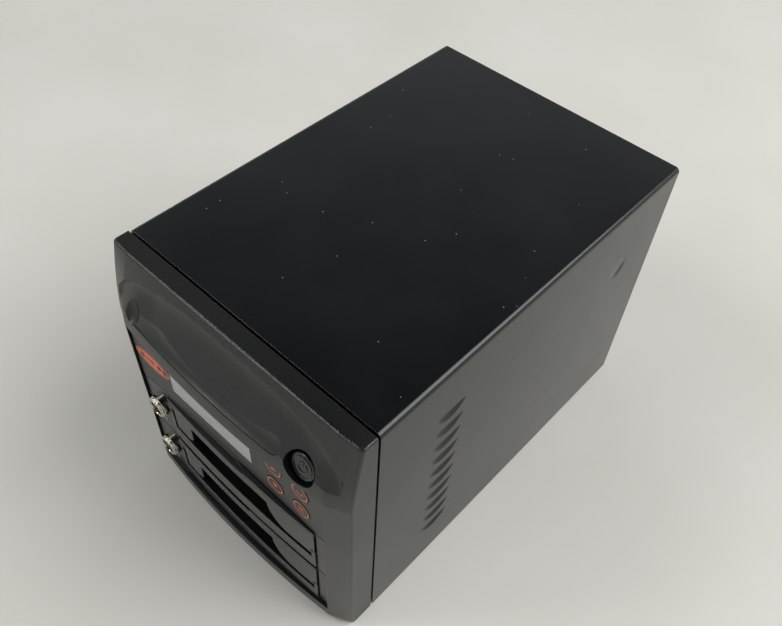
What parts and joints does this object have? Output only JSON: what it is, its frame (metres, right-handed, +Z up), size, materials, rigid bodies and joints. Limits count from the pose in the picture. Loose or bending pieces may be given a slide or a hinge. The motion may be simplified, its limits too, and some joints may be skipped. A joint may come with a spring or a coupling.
{
  "type": "drive duplicator",
  "caption": "Small black tower that copies hard drives: a control panel with display and keys above two lockable removable-drive racks, with a mains supply behind.",
  "frame": {"origin": "middle of the footprint, on the plane the feet stand on", "axes": "+X to the right seen from the front, +Y to the back, +Z up"},
  "size_m": [0.175, 0.2748, 0.187],
  "materials": {
    "powder_coated_steel": "powder coated",
    "moulded_black_abs": "fine moulded texture",
    "galvanised_steel": "zinc coated sheet",
    "lock_chrome": "bright plating",
    "display_lens": "clear acrylic over a grey display",
    "display_metal": "stamped bezel",
    "key_plastic": "moulded caps with printed rings",
    "circuit_board": "solder mask",
    "foot_rubber": "moulded",
    "light_pipe_acrylic": "clear acrylic",
    "fan_plastic": "glass filled, moulded",
    "inlet_plastic": "moulded",
    "rocker_plastic": "moulded",
    "screw_steel": "zinc plated",
    "pin_steel": "ground",
    "cable_jacket": "extruded sleeve",
    "harness_jacket": "extruded sleeve",
    "switch_plastic": "moulded"
  },
  "bodies": {
    "chassis": {"cover": "powder_coated_steel", "chassis_floor": "galvanised_steel", "rear_panel": "galvanised_steel", "drive_cage": "galvanised_steel", "rubber_feet": "foot_rubber", "front_bezel": "moulded_black_abs", "power_switch": "switch_plastic", "control_panel": "moulded_black_abs", "display_window": "display_lens", "display_module": "display_metal", "keypad_board": "circuit_board", "controller_tray": "galvanised_steel", "controller_board": "circuit_board", "board_standoffs": "pin_steel", "supply_case": "galvanised_steel", "supply_board": "circuit_board", "mains_inlet": "inlet_plastic", "rocker_frame": "inlet_plastic", "supply_fan_frame": "fan_plastic", "exhaust_fan_frame": "fan_plastic", "fan_screws": "screw_steel", "supply_screws": "screw_steel", "cover_screws": "screw_steel", "bay_screws": "screw_steel", "upper_data_cable": "cable_jacket", "lower_data_cable": "cable_jacket", "power_harness": "harness_jacket", "upper_rack_shell": "galvanised_steel", "upper_rack_frame": "moulded_black_abs", "upper_light_pipe": "light_pipe_acrylic", "upper_lock_barrel": "lock_chrome", "upper_backplane": "circuit_board", "lower_rack_shell": "galvanised_steel", "lower_rack_frame": "moulded_black_abs", "lower_light_pipe": "light_pipe_acrylic", "lower_lock_barrel": "lock_chrome", "lower_backplane": "circuit_board"},
    "power_button": {"power_button": "moulded_black_abs"},
    "escape_key": {"escape_key": "key_plastic"},
    "down_key": {"down_key": "key_plastic"},
    "enter_key": {"enter_key": "key_plastic"},
    "up_key": {"up_key": "key_plastic"},
    "rocker": {"rocker": "rocker_plastic"},
    "supply_fan_rotor": {"supply_fan_rotor": "fan_plastic"},
    "exhaust_fan_rotor": {"exhaust_fan_rotor": "fan_plastic"},
    "upper_tray": {"upper_tray": "galvanised_steel", "upper_tray_front": "moulded_black_abs", "upper_handle_pins": "pin_steel"},
    "upper_handle": {"upper_handle": "moulded_black_abs"},
    "upper_lock_core": {"upper_lock_core": "lock_chrome"},
    "lower_tray": {"lower_tray": "galvanised_steel", "lower_tray_front": "moulded_black_abs", "lower_handle_pins": "pin_steel"},
    "lower_handle": {"lower_handle": "moulded_black_abs"},
    "lower_lock_core": {"lower_lock_core": "lock_chrome"}
  },
  "joints": [
    {"name": "power_button_press", "type": "slide", "parent": "chassis", "child": "power_button", "axis": [0, 0.9659, -0.2588], "range_m": [0, 0.0025], "stiffness_N_per_m": 400, "springref_m": -0.001},
    {"name": "escape_key_press", "type": "slide", "parent": "chassis", "child": "escape_key", "axis": [0, 1, 0], "range_m": [0, 0.0006], "stiffness_N_per_m": 800, "springref_m": -0.0005},
    {"name": "down_key_press", "type": "slide", "parent": "chassis", "child": "down_key", "axis": [0, 1, 0], "range_m": [0, 0.0006], "stiffness_N_per_m": 800, "springref_m": -0.0005},
    {"name": "enter_key_press", "type": "slide", "parent": "chassis", "child": "enter_key", "axis": [0, 1, 0], "range_m": [0, 0.0006], "stiffness_N_per_m": 800, "springref_m": -0.0005},
    {"name": "up_key_press", "type": "slide", "parent": "chassis", "child": "up_key", "axis": [0, 1, 0], "range_m": [0, 0.0006], "stiffness_N_per_m": 800, "springref_m": -0.0005},
    {"name": "upper_tray_slide", "type": "slide", "parent": "chassis", "child": "upper_tray", "axis": [0, -1, 0], "range_m": [0, 0.2]},
    {"name": "upper_handle_swing", "type": "hinge", "parent": "upper_tray", "child": "upper_handle", "pos_m": [0, -0.1308, 0.074], "axis": [1, 0, 0], "range_deg": [0, 75]},
    {"name": "upper_lock_turn", "type": "hinge", "parent": "chassis", "child": "upper_lock_core", "pos_m": [-0.0615, -0.1318, 0.08], "axis": [0, 1, 0], "range_deg": [0, 90]},
    {"name": "lower_tray_slide", "type": "slide", "parent": "chassis", "child": "lower_tray", "axis": [0, -1, 0], "range_m": [0, 0.2]},
    {"name": "lower_handle_swing", "type": "hinge", "parent": "lower_tray", "child": "lower_handle", "pos_m": [0, -0.1308, 0.032], "axis": [1, 0, 0], "range_deg": [0, 75]},
    {"name": "lower_lock_turn", "type": "hinge", "parent": "chassis", "child": "lower_lock_core", "pos_m": [-0.0615, -0.1318, 0.038], "axis": [0, 1, 0], "range_deg": [0, 90]},
    {"name": "rocker_tilt", "type": "hinge", "parent": "chassis", "child": "rocker", "pos_m": [-0.009, 0.1332, 0.1744], "axis": [0, 0, 1], "range_deg": [-14, 0]},
    {"name": "supply_fan_spin", "type": "hinge", "parent": "chassis", "child": "supply_fan_rotor", "pos_m": [-0.0485, 0.1252, 0.16325], "axis": [0, 1, 0], "continuous": true},
    {"name": "exhaust_fan_spin", "type": "hinge", "parent": "chassis", "child": "exhaust_fan_rotor", "pos_m": [0, 0.1202, 0.065], "axis": [0, 1, 0], "continuous": true}
  ]
}
